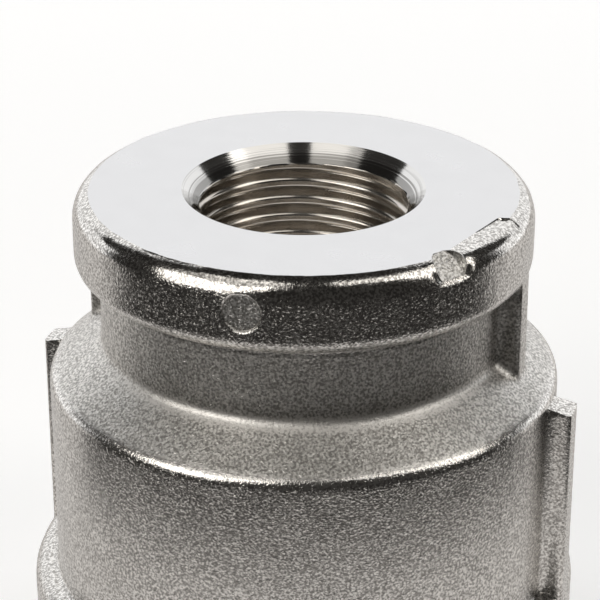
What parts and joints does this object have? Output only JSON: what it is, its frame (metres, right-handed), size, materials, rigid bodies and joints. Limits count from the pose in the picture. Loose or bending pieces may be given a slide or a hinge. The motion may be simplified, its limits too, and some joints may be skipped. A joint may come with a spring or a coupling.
{
  "type": "reducing coupling",
  "caption": "One-piece metal pipe coupling that joins a large pipe to a smaller one, with a threaded socket in each end, a coned shoulder, ribs and a band round each rim.",
  "frame": {"origin": "centre of the large end's faced rim, on the axis both sockets share", "axes": "+Z along the bore axis from the large end to the small end, +X through one pair of ribs"},
  "size_m": [0.0526, 0.0526, 0.046],
  "materials": {
    "plated_brass": "nickel plated over a fine blasted forging grain, with both end faces, mouths and threads machined smooth"
  },
  "bodies": {
    "root": {"coupling_body": "plated_brass"}
  },
  "joints": []
}
